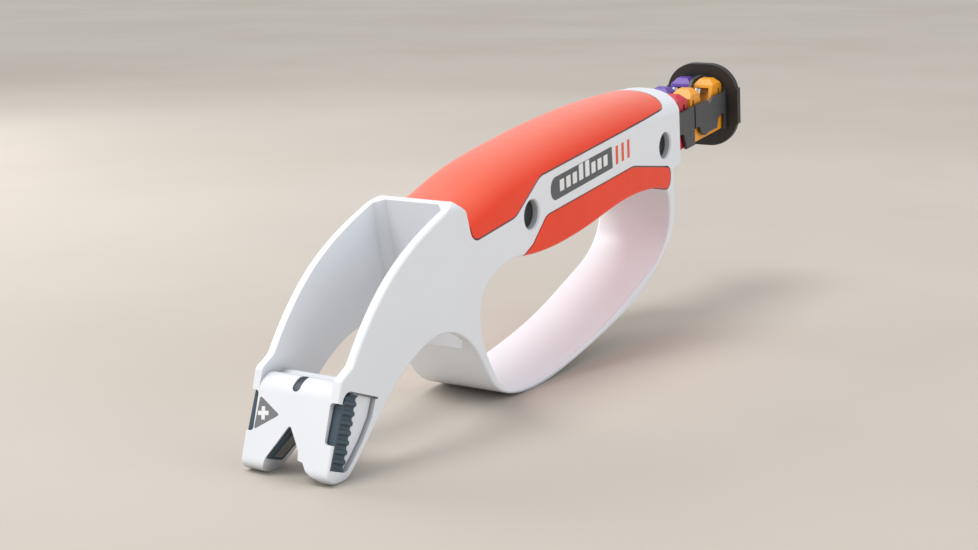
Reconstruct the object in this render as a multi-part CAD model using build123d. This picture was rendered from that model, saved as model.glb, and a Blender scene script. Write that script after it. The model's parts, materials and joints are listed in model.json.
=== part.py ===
"""Hand-held edge tuning tool: a guarded handle, a forked nose that holds a
V-notch cutter cartridge, and a pull-out tray of spare cartridges in the handle.

Axes: X runs from the nose (-X) to the tray cap (+X), Y across the tool, Z up.
The tool rests on its nose and on the bottom of its knuckle guard, at Z = 0.
Outlines are drawn in the side view with X counted from the nose.
"""
import math
import os
from build123d import *

os.makedirs("parts", exist_ok=True)

# ---- driving dimensions, millimetres and degrees --------------------------
HALF = 17.0             # half width of the whole body
CHEEK = 3.0             # thickness of the two nose cheeks
X_MIDDLE = 152.1        # side-view X that becomes the origin
BACK_WALL_X = 69.5      # where the cheeks end and the handle begins
RIM = 1.0               # length of the flat rim behind that line
RIM_TOP = 77.4
RIM_CORNER = 3.6        # rounding of the rim's upper corners, seen along X
GRIP_START = 70.8       # front end of the upper grip
LIP_END = 79.6          # rear end of the lip in front of that grip
LIP_INSIDE = 12.6       # inner side of that lip
EDGE_ROUND = 0.8        # small rounding of the moulded edges
OPENING_ROUND = 1.0     # rounding of the finger opening's edges

GRIP_DEPTH = 1.8        # thickness of the soft grips
GROOVE = 0.65           # shadow gap around the soft grips

TRAY_PITCH = 6.0        # rise of the tray's axis towards the cap
MOUTH_X, MOUTH_Z = 245.7, 82.4    # where the tray's axis leaves the handle
TRAY_OUT = 60.0         # how far the tray stands pulled out
TRAY_HALF = 12.0        # half width of the tray
BAY_HALF = 13.0         # half width of the moulded bay in the handle
BAY_LOW, BAY_HIGH = -14.4, 11.6
LINER = 0.8             # wall of the bay liner
LINER_LENGTH = 76.0
CAP_HALF, CAP_TALL, CAP_DROP = 17.0, 37.8, 3.4
CAP_THICK = 3.4

CARTRIDGE_LONG = 34.0   # a cartridge is as long as the nose is wide
CARTRIDGE_TALL = 23.6
STORED_THICK = 9.4
STORED_LOW = -13.2      # underside of the stored cartridges, from the tray's axis
ROD_RADIUS = 1.4
ROD_TILT = 26.0         # lean of the hone rods from the cartridge's upright
DIVIDER_GAP = 0.8       # from the middle plane to a stored cartridge

FACE_FOOT = (-5.9, 5.1)  # lower end of the nose's flat face
FACE_SLOPE = 0.3125     # run of that face per millimetre of rise
NOSE_LEAN = 21.1        # lean of the cartridge slot from the vertical
SLOT_X, SLOT_Z = -4.9, 5.8        # lower front corner of the cartridge slot
ACTIVE_THICK = 7.3
ACTIVE_TALL = 24.2
SLIDE_GAP = 0.15        # clearance around the sliding cartridge
RIBS = 8                # finger ribs on each end of the cartridge
LEAF_SEAT = Pos(4.2, 0, 28.6) * Rot(0, -34, 0)  # slot of the detent leaf
LEAF_SIZE = (7.2, 3.0)
RECESS = 1.5            # depth of the finger recess in each cheek
RING = 0.6              # width and depth of the line around its floor
NOTCH_Y = 14.0          # inner side of the corner notches in the nose

RIDGE = ((64, 73.0), (74, 75.6), (84, 78.3), (98, 82.9), (126, 89.0), (163, 94.4),
         (205, 98.1), (262, 98.3))       # the handle's top in the side view
SHOULDER = 12.0         # height of the handle's rounded shoulders

WELLS = ((119.7, 65.3), (231.1, 76.7))
WELL_RADIUS = 5.4
WELL_DEPTH = 4.0
PLUG_THICK = 1.3        # dark plug at the bottom of each well

# ---- helpers ---------------------------------------------------------------
SIDE = Plane.XZ


def frame_at(x, z, pitch):
    """Side-view plane whose local x axis is pitched up by the given angle."""
    turn = math.radians(pitch)
    return Plane(origin=(x, 0, z), x_dir=(math.cos(turn), 0, math.sin(turn)),
                 z_dir=(0, -1, 0))


TRAY = frame_at(MOUTH_X, MOUTH_Z, TRAY_PITCH)
NOSE = frame_at(SLOT_X, SLOT_Z, -NOSE_LEAN)
ACROSS = Plane(origin=(SLOT_X, 0, SLOT_Z), x_dir=(0, -1, 0),
               z_dir=(-math.cos(math.radians(NOSE_LEAN)), 0, math.sin(math.radians(NOSE_LEAN))))


def slab(plane, face, y_low, y_high):
    """Extrude a side-view face from Y = y_low to Y = y_high."""
    return extrude(plane.offset(-y_high) * face, y_high - y_low)


def outline(points, radius=0.0):
    """Closed face from corner points, with one radius or one per corner."""
    if isinstance(radius, (int, float)) and radius == 0.0:
        return make_face(Polyline(*points, close=True))
    return make_face(FilletPolyline(*points, radius=radius, close=True))


def block(plane, s_low, s_high, n_low, n_high, y_low, y_high):
    """Box between limits along, above and across a side-view plane."""
    corners = [(s_low, n_low), (s_high, n_low), (s_high, n_high), (s_low, n_high)]
    return slab(plane, outline(corners), y_low, y_high)


# ---- side view outlines ----------------------------------------------------
def round_corners(face, corners):
    """Round named corners of a flat face, each with its own radius."""
    for (x, z), radius in corners:
        corner = [v for v in face.vertices() if abs(v.X - x) + abs(v.Y - z) < 0.1]
        face = fillet(corner, radius)
    return face


def nose_tip():
    """Rounded lower front of the nose, from the flat face to the floor."""
    return Bezier(FACE_FOOT, (-6.92, 1.836), (-4.0, 0), (0, 0))


def on_face(height):
    """Side-view point on the nose's flat face at the given height."""
    return FACE_FOOT[0] + (height - FACE_FOOT[1]) * FACE_SLOPE, height


def silhouette():
    """Outer side view of the moulded body, open above the handle."""
    nose = nose_tip()
    toe = Polyline((0, 0), (3.4, 0), (5.6, 0.9))
    under = Spline((5.6, 0.9), (20.3, 14.1), (40.6, 29.0), (60.7, 34.1), (80.5, 23.9),
                   (94, 7.0), (115, 0.22), (150, 3.1), (188, 11.2), (225.6, 26.2),
                   (240.7, 41), (239.8, 65.8), tangents=((1, 0.8), (-0.12, 1)))
    end = Polyline((239.8, 65.8), (245.6, 66.2), (247.2, 67.8), (243.3, 105),
                   (BACK_WALL_X + RIM, 105), (BACK_WALL_X + RIM, RIM_TOP), (BACK_WALL_X, 77.2))
    rim = Spline((BACK_WALL_X, 77.2), (51.4, 70.5), (31.2, 59.4), (14.9, 43.7), (8.7, 35.3))
    brow = Polyline((8.7, 35.3), on_face(32.3), FACE_FOOT)
    face = make_face([nose, *toe.edges(), under, *end.edges(), rim, *brow.edges()])
    return round_corners(face, [((3.4, 0), 3), ((8.7, 35.3), 5), (on_face(32.3), 2.5),
                                ((239.8, 65.8), 2), ((245.6, 66.2), 1), ((247.2, 67.8), 1)])


def finger_opening():
    """Opening between the handle and the knuckle guard."""
    return make_face(Spline((114, 51), (140, 50.9), (170, 55.0), (195, 59.3), (212, 60.3),
                            (226, 59.6), (234.4, 56.9), (237.0, 49.6), (235.6, 39.8),
                            (229.8, 32.0), (211.2, 22.7), (182.3, 12.7), (142.2, 4.3),
                            (110, 2.8), (99.0, 6.4), (91.1, 15.9), (86.5, 24.2),
                            (84.4, 34.4), (86.8, 43.4), (96.5, 49.2), periodic=True))


def crown_cutter(inset=0.0):
    """Everything above the handle's rounded top, which follows the ridge line."""
    ridge = SIDE * (Pos(0, -inset) * Spline(*RIDGE))
    side = HALF - inset
    low = -SHOULDER
    right = Bezier((side + 0.4, low), (side - 0.4, low * 0.32), (side * 0.66, 0), (0, 0))
    left = Bezier((0, 0), (-side * 0.66, 0), (-side + 0.4, low * 0.32), (-side - 0.4, low))
    rest = Polyline((-side - 0.4, low), (-side - 6, low), (-side - 6, 42),
                    (side + 6, 42), (side + 6, low), (side + 0.4, low))
    start = Plane(origin=ridge @ 0, x_dir=(0, 1, 0), z_dir=ridge % 0)
    return sweep(start * make_face([right, left, *rest.edges()]), path=ridge)


def lip():
    """Space in front of the upper grip, where the body keeps its full width."""
    return block(SIDE, 0, LIP_END, 0, 120, -40, 40) - upper_grip_room()


def rim_corners():
    """What is cut from the rim's upper corners to round them, seen along X."""
    centre_y, centre_z = HALF - RIM_CORNER, RIM_TOP - RIM_CORNER
    plane = Plane(origin=(BACK_WALL_X - 20, 0, 0), x_dir=(0, 1, 0), z_dir=(1, 0, 0))
    cuts = Part()
    for side in (-1, 1):
        square = Pos(side * (centre_y + RIM_CORNER), centre_z + RIM_CORNER)
        square *= Rectangle(2 * RIM_CORNER, 2 * RIM_CORNER)
        cuts += extrude(plane * (square - Pos(side * centre_y, centre_z) * Circle(RIM_CORNER)), 30)
    return cuts


def upper_grip_outline():
    corners = [(GRIP_START, 110), (GRIP_START, 77.2), (75.6, 74.0), (79.6, 62.4), (108.0, 66.6),
               (125.6, 78.9), (231.6, 92.6), (229.8, 110)]
    return outline(corners, [0.4, 2.0, 3.4, 4.6, 9.0, 9.0, 3.4, 0.4])


def lower_grip_outline():
    corners = [(112.4, 50.2), (120.5, 53.9), (130.6, 63.0), (201.5, 71.6),
               (236.6, 66.8), (236.3, 58.8), (204, 54), (204, 40), (112.4, 40)]
    return outline(corners, [0.4, 6.0, 6.0, 12.0, 3.8, 3.8, 1.0, 1.0, 1.0])


# ---- moulded body ----------------------------------------------------------
def outer_body():
    """Whole outer shape of the moulded body, before it is hollowed."""
    blank = slab(SIDE, silhouette(), -HALF, HALF)
    rims = [e for e in blank.edges() if abs(abs(e.center().Y) - HALF) < 0.01]
    rims = [e for e in rims if e.center().Z < 80]
    blank = fillet(rims, EDGE_ROUND)
    hole = slab(SIDE, finger_opening(), -HALF, HALF)
    hole_rims = [e for e in hole.edges() if abs(abs(e.center().Y) - HALF) < 0.01]
    blank -= hole
    rims = [e for e in blank.edges() if abs(abs(e.center().Y) - HALF) < 0.01
            and abs(e.length - hole_rims[0].length) < 0.5]
    blank = fillet(rims, OPENING_ROUND)
    return blank - (crown_cutter() - lip()) - rim_corners()


def channel():
    """Open space between the cheeks, from the nose to the back wall."""
    low_rear, high_rear = (80.6, 24), (59.2, 110)
    corners = [(-20, -10), (80.6, -10), low_rear, high_rear, (-20, 110)]
    space = slab(SIDE, outline(corners), -(HALF - CHEEK), HALF - CHEEK)
    middle = (low_rear[0] + high_rear[0]) / 2
    rear = [e for e in space.edges() if abs(e.center().X - middle) < 0.2
            and abs(abs(e.center().Y) - HALF + CHEEK) < 0.01]
    return chamfer(rear, 3.2)


def bridge_outline():
    """Side view of the block between the cheeks that carries the cartridge."""
    front = Line(FACE_FOOT, on_face(26.2))
    brow = Spline(on_face(26.2), (2.7, 29.0), (6.3, 30.3), (11.8, 28.8), (16.4, 23.4),
                  tangents=((FACE_SLOPE, 1), (0.15, -1)))
    back = Polyline((16.4, 23.4), (16.2, 12.2), (9.8, 4.0), (4, 0), (0, 0))
    return make_face([nose_tip(), front, brow, *back.edges()])


def window_outline():
    """D-shaped finger recess in each cheek, in the cartridge slot's frame."""
    corners = [(0, 0), (0, 24.9), (17.4, 24.9), (17.2, 18), (14.7, 10.5), (11.2, 3.6), (8.8, 0)]
    return outline(corners, [0.6, 3.6, 0.8, 4, 6, 4, 2])


def throat():
    """V throat through the nose, seen along X."""
    left = [(0.45, 16.4), (7.6, 6.0), (8.6, 2.0), (9.6, -3)]
    right = [(-15.0, -3), (-12.6, 2.1), (-10.2, 3.1), (-8.3, 4.5), (-6.8, 6.8),
             (-4.9, 7.1), (-4.5, 10.1), (-0.45, 16.4)]
    plane = Plane(origin=(-30, 0, 0), x_dir=(0, 1, 0), z_dir=(1, 0, 0))
    rounds = [0.4, 2, 1, 1, 1, 1.5, 1, 1, 0.3, 0.3, 1, 0.4]
    return extrude(plane * outline(left + right, rounds), 70)


def sides(near, far):
    """The two Y ranges between the given distances from the middle plane."""
    return (-far, -near), (near, far)


def slot_outline(gap=0.0):
    """Section of the cartridge, with the corner under the nose's brow cut off."""
    end, high = ACTIVE_THICK + SLIDE_GAP + gap, ACTIVE_TALL + gap
    low = SLIDE_GAP - gap
    return outline([(low, -gap), (end, -gap), (end, high), (low + 3.4, high), (low, high - 3.4)])


def nose_cuts():
    """Everything taken out of the nose for the cartridge and its finger room."""
    cuts = throat() + slab(NOSE, slot_outline(SLIDE_GAP), -HALF - 1, HALF + 1)
    floor = HALF - RECESS
    ring = window_outline() - offset(window_outline(), -RING)
    rest = block(NOSE, ACTIVE_THICK + 1, 40, -9, 40, -HALF, HALF)
    for y_low, y_high in sides(floor, HALF + 1):
        cuts += slab(NOSE, window_outline(), y_low, y_high)
        cuts += block(NOSE, 14, 18.6, 24.2, 24.9, y_low, y_high)
    for y_low, y_high in sides(floor - RING, floor):
        cuts += slab(NOSE, ring, y_low, y_high) & rest
    for side in (-1, 1):
        corners = [(side * NOTCH_Y, 7.5), (side * NOTCH_Y, 20.4), (side * 20, 20.4), (side * 20, 7.5)]
        cuts += extrude(ACROSS * outline(corners, 1.2), 6)
        cuts += extrude(ACROSS * outline(corners, 1.2), -1)
    return cuts + leaf_slot()


def leaf_slot():
    """Oblong slot through the brow of the nose."""
    return extrude(LEAF_SEAT * SlotOverall(*LEAF_SIZE), 6, both=True)


def bay():
    """Hollow of the handle, with the tray bay at its rear."""
    return block(TRAY, -LINER_LENGTH - 62, 8, BAY_LOW, BAY_HIGH, -BAY_HALF, BAY_HALF)


def wells():
    """Round wells in the right side of the handle."""
    cuts = Part()
    for x, z in WELLS:
        at = Pos(x, -HALF, z) * Rot(90, 0, 0)
        cuts += at * Cylinder(WELL_RADIUS, 2 * WELL_DEPTH)
        cuts += at * Cone(WELL_RADIUS, WELL_RADIUS + 0.9, 1.4)
    return cuts


def upper_grip_room(gap=0.0):
    """Room of the upper grip: its side outline, and its middle up to the rim."""
    face = offset(upper_grip_outline(), gap) if gap else upper_grip_outline()
    half = LIP_INSIDE + gap
    middle = block(SIDE, GRIP_START - gap, LIP_END, 60, 110, -half, half)
    return slab(SIDE, face, -HALF - 5, HALF + 5) + middle


def lower_core():
    """Handle core under the lower grip."""
    floor = Spline((105, 52.8), (140, 52.7), (170, 56.8), (195, 61.1), (212, 62.1),
                   (226, 61.4), (238, 60.6))
    walls = Polyline((238, 60.6), (238, 90), (105, 90), (105, 52.8))
    face = make_face([floor, *walls.edges()])
    return slab(SIDE, face, -(HALF - GRIP_DEPTH), HALF - GRIP_DEPTH)


def upper_core():
    """Handle core under the upper grip."""
    side = HALF - GRIP_DEPTH
    return block(SIDE, 60, 245, 50, 104, -side, side) - crown_cutter(GRIP_DEPTH)


# ---- trim on the body ------------------------------------------------------
FRONT = Plane(origin=(FACE_FOOT[0], 0, FACE_FOOT[1]), x_dir=(0, -1, 0),
              z_dir=(-1, 0, FACE_SLOPE))
TRIM = 0.5              # depth of the inlaid trim
STRIPES = 8


def name_plate_outline():
    corners = [(133.6, 67.4), (183.4, 73.8), (182.2, 82.4), (133.4, 76.2)]
    return outline(corners, [4.0, 0.4, 0.4, 4.0])


def slanted_bar(x, z, length, height):
    """Bar that follows the handle's rise, with slanted ends."""
    rise = length * 0.128
    lean = height * -0.08
    return outline([(x, z), (x + length, z + rise), (x + length + lean, z + rise + height),
                    (x + lean, z + height)], 0.3)


def plate_stripes():
    """Generic light bars along the name plate, with a taller pair in the middle."""
    bars = []
    for step in range(STRIPES):
        tall = 6.2 if step in (STRIPES // 2, STRIPES // 2 - 1) else 4.4
        x = 140.6 + 5.0 * step
        bars.append(slanted_bar(x, 70.6 + 0.128 * 5.0 * step, 3.4, tall))
    return bars


def accent_bars():
    """Generic accent marks between the name plate and the rear well."""
    return [slanted_bar(186.0 + 5.0 * step, 74.6 + 0.64 * step, 2.2, 7.4) for step in range(3)]


def inlay(plane, faces, depth):
    """Flat inlays let in from the right side of the body."""
    pieces = Part()
    for face in faces:
        pieces += slab(plane, face, -HALF, -HALF + depth)
    return pieces


def marker_triangle():
    """Triangular marker on the nose's face."""
    face = outline([(-13.1, 19.9), (-4.6, 14.9), (-13.8, 9.0)], 0.5)
    return extrude(FRONT * face, -TRIM)


def marker_plus():
    """Plus sign let into the marker."""
    centre = Pos(-11.0, 14.6) * Rot(0, 0, 8)
    face = centre * (Rectangle(4.2, 1.4) + Rectangle(1.4, 4.2))
    return extrude(FRONT * face, -TRIM / 2)


def well_plug(x, z):
    """Dark round plug at the bottom of a well, softly domed."""
    at = Pos(x, WELL_DEPTH - HALF - PLUG_THICK / 2, z) * Rot(90, 0, 0)
    plug = at * Cylinder(WELL_RADIUS - 0.05, PLUG_THICK)
    return fillet(plug.edges().sort_by(Axis.Y)[0], 0.4)


# ---- cutter cartridge in the nose ------------------------------------------
NOTCH_FLANK = ((0.3, 9.6), (7.0, 0.0))      # one flank of the V, across and up
BLADE_SECTION = (1.4, 9.4)
BLADE_SINK = 0.35           # from the flank to the blade's middle plane
BLADE_REACH = (5.9, 2.2)    # rear and front of the blades, from the slot's front


def cutter_housing():
    """Cartridge that slides across the nose: V notch and ribbed ends."""
    body = slab(NOSE, slot_outline(), -HALF, HALF)
    along = [e for e in body.edges() if abs(e.length - 2 * HALF) < 0.01]
    body = chamfer(along, 0.4)
    pitch = ACTIVE_TALL / RIBS
    place = Pos(SLOT_X, 0, SLOT_Z) * Rot(0, NOSE_LEAN, 0)
    for side in (-1, 1):
        for step in range(RIBS):
            groove = Rot(0, 90, 0) * Cylinder(1.0, 20)
            body -= place * Pos(11.0, side * (HALF + 0.25), pitch * (step + 0.5)) * groove
    return body - notch() - cutter_blades()


def notch():
    """V notch of the cartridge, narrower than the nose's throat."""
    flank = [*NOTCH_FLANK, (9.0, -4)]
    corners = flank + [(-y, d) for y, d in reversed(flank)]
    return extrude(ACROSS * outline(corners), 30, both=True)


def cutter_blades():
    """Two steel blades that line the flanks of the cartridge's V."""
    (top_y, top_d), (foot_y, foot_d) = NOTCH_FLANK
    tilt = math.degrees(math.atan2(foot_y - top_y, top_d - foot_d))
    blades = Part()
    for side in (1, -1):
        centre = Pos(side * (top_y + foot_y) / 2, (top_d + foot_d) / 2) * Rot(0, 0, side * tilt)
        face = centre * Pos(side * BLADE_SINK, 0) * Rectangle(*BLADE_SECTION)
        blades += extrude(ACROSS.offset(-BLADE_REACH[0]) * face, BLADE_REACH[0] - BLADE_REACH[1])
    return blades


def detent_leaf():
    """Curved leaf spring in the slot on top of the nose, under its surface."""
    bridge = slab(SIDE, bridge_outline(), -HALF, HALF)
    drop = LEAF_SEAT.orientation.Y
    lean = Vector(math.sin(math.radians(drop)), 0, math.cos(math.radians(drop)))
    return (leaf_slot() & bridge.moved(Location(lean * -0.5))) - bridge.moved(Location(lean * -1.1))


# ---- tray of spare cartridges ----------------------------------------------
TRAY_WINDOWS = (         # cut-outs of the tray's side plates, in the tray's frame
    ((26.0, -15), (26.8, -6.6), (28.6, -6.1), (31.3, -6.9), (32.3, -9.3), (36.7, -11.7),
     (41.4, -10.8), (49.5, -11.2), (50.9, -7.1), (53.9, -6.0), (58.1, -6.0), (58.1, -15)),
    ((2.0, -15), (2.0, -6.0), (13.4, -6.0), (14.4, -6.8), (16.6, -12.2), (16.6, -15)),
    ((38.6, 5), (42.1, 1.0), (46.8, 5)),
)


def tray_frame():
    """Open tray: side plates, a divider between the two columns, cross walls."""
    low, top = STORED_LOW - 0.2, 3.6
    inner, outer_end = TRAY_OUT - 74.0, TRAY_OUT
    half, wall = TRAY_HALF, 1.2
    plates = Part()
    for y_low, y_high in sides(half - wall, half):
        plates += block(TRAY, inner, outer_end, low, top, y_low, y_high)
    divider = [(inner, low), (outer_end, low), (outer_end, 10.6), (outer_end - 10, 10.2),
               (outer_end - 17, 3.5), (inner + 15, 3.5), (inner + 2, 9.0), (inner, 9.0)]
    plates += slab(TRAY, outline(divider), -0.7, 0.7)
    for s_low, s_high, height in ((inner, inner + 1.2, 3.6), (24.0, 25.0, -2.0)):
        plates += block(TRAY, s_low, s_high, low, height, -half, half)
    plates += block(TRAY, inner, outer_end, low, low + 1.2, -5, 5)
    gable = [(-half, low), (-half, top), (-6.6, 8.8), (0, 10.6), (6.6, 8.8), (half, top), (half, low)]
    plates += extrude(tray_end(outer_end) * outline(gable), -0.8)
    for y_low, y_high in sides(half - wall - 0.1, half + 1):
        for corners in TRAY_WINDOWS:
            plates -= slab(TRAY, outline(corners), y_low, y_high)
    for y_low, y_high in sides(half - 0.7, half + 1):
        plates -= block(TRAY, 25.4, 26.8, low - 1, top + 1, y_low, y_high)
    return plates


def tray_end(s):
    """Plane across the tray's axis, facing outwards, with x across the tool."""
    turn = math.radians(TRAY_PITCH)
    return Plane(origin=TRAY.from_local_coords((s, 0, 0)), x_dir=(0, 1, 0),
                 z_dir=(math.cos(turn), 0, math.sin(turn)))


def stored_housing(s_low, side):
    """Spare cartridge with its V notch up, standing in the tray."""
    low, high = STORED_LOW, STORED_LOW + CARTRIDGE_TALL
    inside, outside = DIVIDER_GAP, DIVIDER_GAP + STORED_THICK
    y_low, y_high = sorted((side * inside, side * outside))
    mid = CARTRIDGE_LONG / 2
    half_face = [(mid, high - 13.5), (mid - 3.2, high - 12.4), (mid - 7.6, high - 2.4),
                 (mid - 9.6, high), (mid - 13.6, high), (0, high - 3.6), (0, low)]
    corners = half_face + [(2 * mid - s, n) for s, n in reversed(half_face[1:])]
    body = slab(TRAY, Pos(s_low, 0) * outline(corners), y_low, y_high)
    pocket = [(mid, high - 17), (mid - 5.4, high - 13.6), (mid - 10.0, high - 3.6), (mid, high - 3.6)]
    pocket += [(2 * mid - s, n) for s, n in reversed(pocket[1:3])]
    body -= slab(TRAY, Pos(s_low, 0) * outline(pocket), y_low + 1.8, y_high - 1.8)
    soft = 2.2
    section = [(y_low, low - 1), (y_low, high - soft), (y_low + soft, high), (y_high - soft, high),
               (y_high, high - soft), (y_high, low - 1)]
    body &= extrude(tray_end(s_low - 1) * outline(section), CARTRIDGE_LONG + 2)
    body -= block(TRAY, s_low - 1, s_low + 40, low - 1, low + 1.1, -5.1, 5.1)
    y_low, y_high = sorted((side * (outside - 1.2), side * (outside + 1)))
    for s in (s_low + 2.6, s_low + CARTRIDGE_LONG - 4.0):
        body -= block(TRAY, s, s + 1.4, high - 10.5, high - 4.6, y_low, y_high)
    return body - stored_rods(s_low, side, 0.04)


def stored_rods(s_low, side, gap=0.0):
    """Crossed hone rods of a spare cartridge, one behind the other."""
    rods = []
    cross = (s_low + CARTRIDGE_LONG / 2, STORED_LOW + CARTRIDGE_TALL - 14.6)
    centre = side * (DIVIDER_GAP + STORED_THICK / 2)
    for tilt, depth in ((1, 1.45), (-1, -1.45)):
        lean = frame_at(0, 0, TRAY_PITCH - tilt * ROD_TILT)
        place = Plane(origin=TRAY.from_local_coords((*cross, -centre - depth)),
                      x_dir=(0, 1, 0), z_dir=lean.y_dir)
        rods.append(place * Pos(0, 0, 3.0) * Cylinder(ROD_RADIUS + gap, 18.0 + 2 * gap))
    return rods[0] + rods[1]


def tray_cap():
    """End cap of the tray, a rounded shield with a grip bump on each side."""
    plane = tray_end(TRAY_OUT) * Pos(0, -CAP_DROP)
    face = RectangleRounded(2 * CAP_HALF, CAP_TALL, 13.6)
    face += RectangleRounded(2 * CAP_HALF + 1.0, 16.5, 0.49)
    cap = extrude(plane * face, CAP_THICK)
    ends = cap.faces().sort_by(Axis.X)
    return fillet(ends[-1].outer_wire().edges(), 0.7)


def liner():
    """Sleeve that lines the bay and guides the tray."""
    sleeve = block(TRAY, -LINER_LENGTH, -0.6, BAY_LOW, BAY_HIGH, -BAY_HALF, BAY_HALF)
    return sleeve - block(TRAY, -LINER_LENGTH + 1.0, 1, BAY_LOW + LINER, BAY_HIGH - LINER,
                          -BAY_HALF + LINER, BAY_HALF - LINER)


# ---- assembly ----------------------------------------------------------------
outer = outer_body()
core_top = upper_core()
core_low = lower_core()
grip_top = (outer & upper_grip_room()) - core_top
grip_bottom = (outer & slab(SIDE, lower_grip_outline(), -30, 30)) - core_low
body = outer - channel() + slab(SIDE, bridge_outline(), -(HALF - CHEEK), HALF - CHEEK)
body -= nose_cuts()
body -= upper_grip_room(GROOVE) - core_top
body -= slab(SIDE, offset(lower_grip_outline(), GROOVE), -HALF - 5, HALF + 5) - core_low
body -= bay()
body -= wells()
plate = inlay(SIDE, [name_plate_outline()], TRIM)
stripes = inlay(SIDE, plate_stripes(), TRIM / 2)
accents = inlay(SIDE, accent_bars(), TRIM / 2)
marker = marker_triangle()
plus = marker_plus()
body -= plate + accents + marker
plate -= stripes
marker -= plus

nodes = {
    "shell_right": body & Pos(100, -50, 50) * Box(600, 100, 400),
    "shell_left": body & Pos(100, 50, 50) * Box(600, 100, 400),
    "grip_top": grip_top,
    "grip_bottom": grip_bottom,
    "name_plate": plate,
    "name_plate_stripes": stripes,
    "accent_bars": accents,
    "marker_triangle": marker,
    "marker_plus": plus,
    "front_well_plug": well_plug(*WELLS[0]),
    "rear_well_plug": well_plug(*WELLS[1]),
    "tray_liner": liner(),
    "detent_leaf": detent_leaf(),
    "cutter_housing": cutter_housing(),
    "cutter_blades": cutter_blades(),
    "tray_frame": tray_frame(),
    "tray_cap": tray_cap(),
}
SPARES = (("orange", 25.1, -1), ("red", -11.8, -1), ("purple", 25.1, 1), ("grey", -11.8, 1))
for colour, s_low, side in SPARES:
    nodes[f"spare_{colour}_housing"] = stored_housing(s_low, side)
    nodes[f"spare_{colour}_rods"] = stored_rods(s_low, side)

for name, shape in nodes.items():
    solids = [Pos(-X_MIDDLE, 0, 0) * solid for solid in shape.solids()]
    export_step(Compound(solids) if len(solids) > 1 else solids[0], f"parts/{name}.step")
    print(name, len(solids), round(sum(solid.volume for solid in solids)))
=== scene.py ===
"""Looks of the edge tuning tool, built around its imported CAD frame.

Lengths are in metres. X runs from the nose to the tray's cap, the name plate is on the -Y side,
and Z is up.
"""
import json
import math

import bpy
from mathutils import Matrix, Vector

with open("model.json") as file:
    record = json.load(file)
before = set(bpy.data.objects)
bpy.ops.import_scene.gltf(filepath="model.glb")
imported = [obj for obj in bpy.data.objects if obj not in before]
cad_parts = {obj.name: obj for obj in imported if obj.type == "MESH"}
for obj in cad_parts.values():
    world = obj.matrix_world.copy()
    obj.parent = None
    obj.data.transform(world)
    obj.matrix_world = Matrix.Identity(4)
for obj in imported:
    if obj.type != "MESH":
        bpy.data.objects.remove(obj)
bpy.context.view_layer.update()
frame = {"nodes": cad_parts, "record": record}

# ---- camera: low in front of the nose, on the tool's right side -----------------
CAMERA_PLACE = (-0.5379, -0.3076, 0.1707)
CAMERA_AIM = (0.83342, 0.50963, -0.21374)
CAMERA_ROLL = math.radians(-0.6)
CAMERA_LENS = 60.37                 # mm
SENSOR_WIDTH = 36                   # mm

# ---- studio --------------------------------------------------------------------
FLOOR_SIZE = 12
FLOOR_SHADE = (0.49, 0.445, 0.39)
FLOOR_TINT = (0.53, 0.485, 0.43)
SKY_TINT = (0.92, 0.95, 1.0, 1)
SKY_STRENGTH = 0.60

# ---- surface detail: noise scales in cells per metre, depths in metres ------------
MOTTLE_SCALE = 35                   # slow drift of the colour in moulded plastic
POLISH_SCALE = 90                   # patches of more and less polish in it
SPARK_SCALE = 2600                  # fine texture of a spark-eroded mould
SPARK_DEPTH = 0.00002
BODY_SPARK_DEPTH = 0.000008         # the white body comes from a smoother mould
PLASTIC_EDGE = 0.00035              # radius that moulded edges are rounded to
PAINTED_SHADE_REACH = 0.005                # corners narrower than this get painted shade
PAINTED_SHADE_SHARE = 0.55                 # share of the colour that is left in the painted shade
RUBBER_MOTTLE_SCALE = 22
RUBBER_POLISH_SCALE = 120
RUBBER_GRAIN_SCALE = 1800
RUBBER_GRAIN_DEPTH = 0.00003
RUBBER_EDGE = 0.0004
METAL_GRAIN_SCALE = 500
METAL_GRAIN_DEPTH = 0.00001
METAL_EDGE = 0.0001
FLOOR_MOTTLE_SCALE = 3
FLOOR_POLISH_SCALE = 14
FLOOR_GRAIN_SCALE = 900
FLOOR_GRAIN_DEPTH = 0.00004

# ---- finishes: linear colour, then roughness, by material slot --------------------
BODY_WHITE = (0.80, 0.82, 0.855)
GRIP_ORANGE = (0.93, 0.053, 0.011)
GRIP_PAINTED_SHEEN_ORANGE = (0.82, 0.14, 0.08)     # painted sheen: paler orange on the grip faces that look up
PLASTICS = {
    "plate_grey": ((0.10, 0.102, 0.11), 0.45),
    "mark_white": ((0.85, 0.85, 0.85), 0.5),
    "mark_orange": ((0.84, 0.115, 0.045), 0.5),
    "marker_grey": ((0.19, 0.19, 0.20), 0.5),
    "plug_dark": ((0.012, 0.012, 0.014), 0.55),
    "liner_plastic": ((0.02, 0.02, 0.022), 0.5),
    "cutter_plastic": ((0.048, 0.082, 0.108), 0.42),
    "tray_plastic": ((0.065, 0.065, 0.068), 0.5),
    "cap_plastic": ((0.022, 0.018, 0.016), 0.45),
    "spare_orange": ((0.92, 0.36, 0.015), 0.35),
    "spare_red": ((0.62, 0.02, 0.04), 0.35),
    "spare_purple": ((0.13, 0.055, 0.38), 0.35),
    "spare_grey": ((0.22, 0.24, 0.26), 0.35),
}
METALS = {
    "spring_steel": ((0.10, 0.11, 0.13), 0.45),
    "blade_steel": ((0.42, 0.41, 0.42), 0.35),
    "rod_steel": ((0.50, 0.50, 0.52), 0.38),
}


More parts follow.
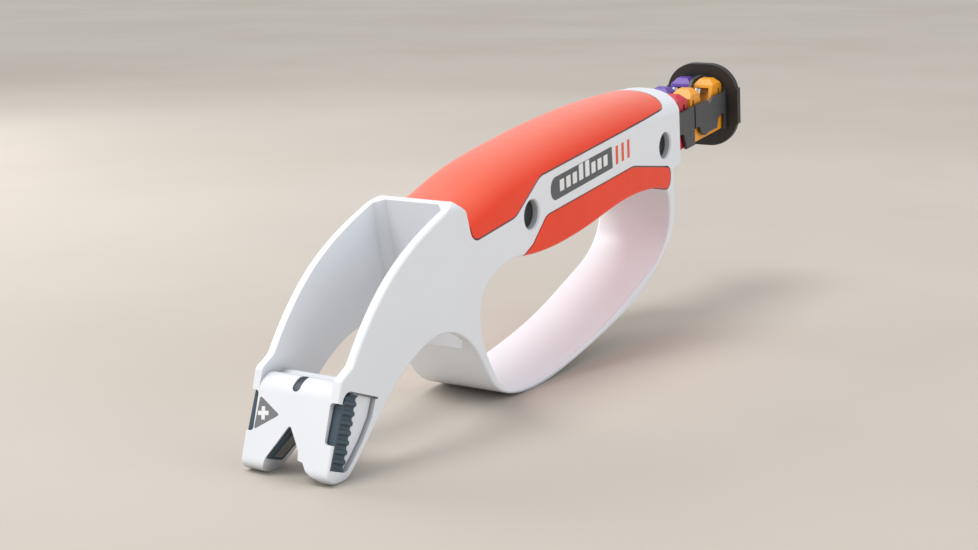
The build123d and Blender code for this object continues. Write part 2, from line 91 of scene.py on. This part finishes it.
# ---- camera and lights ----------------------------------------------------------
def add_camera():
    data = bpy.data.cameras.new("camera")
    data.sensor_width = SENSOR_WIDTH
    data.lens = CAMERA_LENS
    camera = bpy.data.objects.new("camera", data)
    bpy.context.scene.collection.objects.link(camera)
    turn = Vector(CAMERA_AIM).to_track_quat("-Z", "Y").to_matrix().to_4x4()
    roll = Matrix.Rotation(CAMERA_ROLL, 4, "Z")
    camera.matrix_world = Matrix.Translation(CAMERA_PLACE) @ turn @ roll
    bpy.context.scene.camera = camera


def add_light(name, kind, place, target, power, tint, **settings):
    """Add a lamp at a place, turned towards its target."""
    data = bpy.data.lights.new(name, kind)
    data.energy = power
    data.color = tint
    for key, value in settings.items():
        setattr(data, key, value)
    light = bpy.data.objects.new(name, data)
    light.location = place
    aim = Vector(target) - Vector(place)
    light.rotation_euler = aim.to_track_quat("-Z", "Y").to_euler()
    bpy.context.scene.collection.objects.link(light)


def add_lights():
    """A soft overhead key, a panel in front, one on each side, and an even sky."""
    add_light("key", "SUN", place=(-0.35, 0.30, 1.0), target=(0, 0, 0),
              power=1.5, tint=(1.0, 0.985, 0.96), angle=0.5)
    add_light("front", "AREA", place=(-1.0, 0.15, 0.4), target=(-0.1, 0, 0.05),
              power=1.8, tint=(1, 1, 1), size=0.5)
    add_light("side", "AREA", place=(0.1, -1.1, 0.55), target=(0.05, 0, 0.05),
              power=4.6, tint=(0.95, 0.975, 1.0), size=0.9)
    add_light("far", "AREA", place=(0.0, 0.9, 0.42), target=(0.05, 0, 0.02),
              power=5.0, tint=(1.0, 0.97, 0.96), size=0.6)
    sky = bpy.data.worlds.new("sky")
    sky.use_nodes = True
    background = sky.node_tree.nodes["Background"]
    background.inputs["Color"].default_value = SKY_TINT
    background.inputs["Strength"].default_value = SKY_STRENGTH
    bpy.context.scene.world = sky
    bpy.context.scene.view_settings.view_transform = "Standard"


# ---- material building blocks -----------------------------------------------------
class Shader:
    """One procedural material, built up around its Principled BSDF."""

    def __init__(self, name):
        self.material = bpy.data.materials.new(name)
        self.material.use_nodes = True
        self.tree = self.material.node_tree
        self.main = self.tree.nodes["Principled BSDF"]
        self.coords = self.add("ShaderNodeTexCoord").outputs["Object"]

    def add(self, kind, **settings):
        node = self.tree.nodes.new(kind)
        for key, value in settings.items():
            setattr(node, key, value)
        return node

    def link(self, source, target):
        self.tree.links.new(source, target)

    def set(self, **values):
        """Set constants on the shader's own sockets."""
        for key, value in values.items():
            self.main.inputs[key.replace("_", " ")].default_value = value

    def colour(self, source):
        self.link(source, self.main.inputs["Base Color"])

    def roughness(self, source, low, high):
        """Let the roughness follow a noise between two values."""
        self.link(self.span(source, 0.3, 0.7, low, high), self.main.inputs["Roughness"])

    def noise(self, scale, detail):
        node = self.add("ShaderNodeTexNoise")
        node.inputs["Scale"].default_value = scale
        node.inputs["Detail"].default_value = detail
        self.link(self.coords, node.inputs["Vector"])
        return node.outputs["Fac"]

    def span(self, source, low, high, out_low, out_high):
        """Map a source from low..high to out_low..out_high, held at both ends."""
        node = self.add("ShaderNodeMapRange")
        self.link(source, node.inputs["Value"])
        for socket, value in (("From Min", low), ("From Max", high),
                              ("To Min", out_low), ("To Max", out_high)):
            node.inputs[socket].default_value = value
        return node.outputs["Result"]

    def mix(self, factor, first, second):
        """Blend two colours, each a tuple or another node's output."""
        node = self.add("ShaderNodeMix", data_type="RGBA")
        self.link(factor, node.inputs["Factor"])
        for socket, value in (("A", first), ("B", second)):
            target = [s for s in node.inputs if s.name == socket and s.type == "RGBA"][0]
            if isinstance(value, tuple):
                target.default_value = (*value, 1)
            else:
                self.link(value, target)
        return [s for s in node.outputs if s.type == "RGBA"][0]

    def mottle(self, source, first, second):
        """Patches of two colours, with a soft border where the noise is near its middle."""
        return self.mix(self.span(source, 0.35, 0.65, 0, 1), first, second)

    def bump(self, height, depth, edge=0.0):
        """Relief of the given depth, on edges rounded to the given radius."""
        node = self.add("ShaderNodeBump")
        node.inputs["Strength"].default_value = 1.0
        node.inputs["Distance"].default_value = depth
        self.link(height, node.inputs["Height"])
        if edge > 0:
            bevel = self.add("ShaderNodeBevel", samples=6)
            bevel.inputs["Radius"].default_value = edge
            self.link(bevel.outputs["Normal"], node.inputs["Normal"])
        self.link(node.outputs["Normal"], self.main.inputs["Normal"])

    def painted_sheen_mask(self):
        """Mask for painted sheen: a factor that rises from 0 on upright faces to 1 on faces
        that look up.
        """
        geometry = self.add("ShaderNodeNewGeometry")
        parts = self.add("ShaderNodeSeparateXYZ")
        self.link(geometry.outputs["Normal"], parts.inputs[0])
        return self.span(parts.outputs["Z"], 0.3, 0.95, 0, 1)

    def painted_crease_shade(self, reach):
        """Painted shade: a factor that rises from 0 to 1 in corners narrower than the given
        reach.
        """
        node = self.add("ShaderNodeAmbientOcclusion", samples=8)
        node.inputs["Distance"].default_value = reach
        return self.span(node.outputs["AO"], 0.35, 0.95, 1, 0)


def scaled(colour, share):
    return tuple(channel * share for channel in colour)


# ---- materials --------------------------------------------------------------------
def moulded_plastic(name, colour, roughness, shift=0.06, depth=SPARK_DEPTH, edge=PLASTIC_EDGE):
    """Injection-moulded plastic: faint mottling, painted shade in the corners and a fine spark
    texture.
    """
    s = Shader(name)
    base = s.mottle(s.noise(MOTTLE_SCALE, 3), scaled(colour, 1 - shift), colour)
    # painted shade: narrow corners are darkened to a share of the colour
    s.colour(s.mix(s.painted_crease_shade(PAINTED_SHADE_REACH), base, scaled(colour, PAINTED_SHADE_SHARE)))
    s.roughness(s.noise(POLISH_SCALE, 4), roughness - 0.05, roughness + 0.06)
    s.set(IOR=1.5)
    s.bump(s.noise(SPARK_SCALE, 2), depth, edge)
    return s.material


def soft_rubber(name, colour, painted_sheen_colour):
    """Soft-touch rubber: a fine matte grain, and a painted sheen, a paler tint, on the faces
    that look up.
    """
    s = Shader(name)
    base = s.mottle(s.noise(RUBBER_MOTTLE_SCALE, 4), scaled(colour, 0.93), colour)
    # painted sheen: faces that look up are mixed towards a paler orange
    s.colour(s.mix(s.painted_sheen_mask(), base, painted_sheen_colour))
    s.roughness(s.noise(RUBBER_POLISH_SCALE, 3), 0.42, 0.56)
    s.set(Specular_IOR_Level=0.22, Sheen_Weight=0.3, Sheen_Roughness=0.4)
    s.bump(s.noise(RUBBER_GRAIN_SCALE, 3), RUBBER_GRAIN_DEPTH, RUBBER_EDGE)
    return s.material


def ground_metal(name, colour, roughness):
    """Ground steel: one grain drives its colour, its roughness and its relief."""
    s = Shader(name)
    grain = s.noise(METAL_GRAIN_SCALE, 4)
    s.colour(s.mix(s.span(grain, 0.3, 0.7, 0, 1), scaled(colour, 0.8), colour))
    s.roughness(grain, roughness - 0.08, roughness + 0.12)
    s.set(Metallic=1.0)
    s.bump(grain, METAL_GRAIN_DEPTH, METAL_EDGE)
    return s.material


def matte_floor(name):
    """Pale matte board with a faint tooth."""
    s = Shader(name)
    s.colour(s.mottle(s.noise(FLOOR_MOTTLE_SCALE, 4), FLOOR_SHADE, FLOOR_TINT))
    s.roughness(s.noise(FLOOR_POLISH_SCALE, 3), 0.75, 0.9)
    s.set(Specular_IOR_Level=0.25)
    s.bump(s.noise(FLOOR_GRAIN_SCALE, 2), FLOOR_GRAIN_DEPTH)
    return s.material


def finish_materials():
    """One material for each material slot of the record."""
    made = {
        "body_plastic": moulded_plastic("body_plastic", BODY_WHITE, 0.33, shift=0.02,
                                        depth=BODY_SPARK_DEPTH, edge=0.0),
        "grip_rubber": soft_rubber("grip_rubber", GRIP_ORANGE, GRIP_PAINTED_SHEEN_ORANGE),
    }
    for slot, (colour, roughness) in PLASTICS.items():
        made[slot] = moulded_plastic(slot, colour, roughness)
    for slot, (colour, roughness) in METALS.items():
        made[slot] = ground_metal(slot, colour, roughness)
    return made


# ---- scene ------------------------------------------------------------------------
def add_floor():
    bpy.ops.mesh.primitive_plane_add(size=FLOOR_SIZE, location=(0, 0, 0))
    floor = bpy.context.object
    floor.name = "floor"
    floor.data.materials.append(matte_floor("floor"))


def dress_nodes():
    """Give every CAD node the material of its slot."""
    materials = finish_materials()
    for entry in frame["record"]["subparts"]:
        node = frame["nodes"][entry["node"]]
        node.data.materials.clear()
        node.data.materials.append(materials[entry["material_slot"]])


add_camera()
add_floor()
add_lights()
dress_nodes()
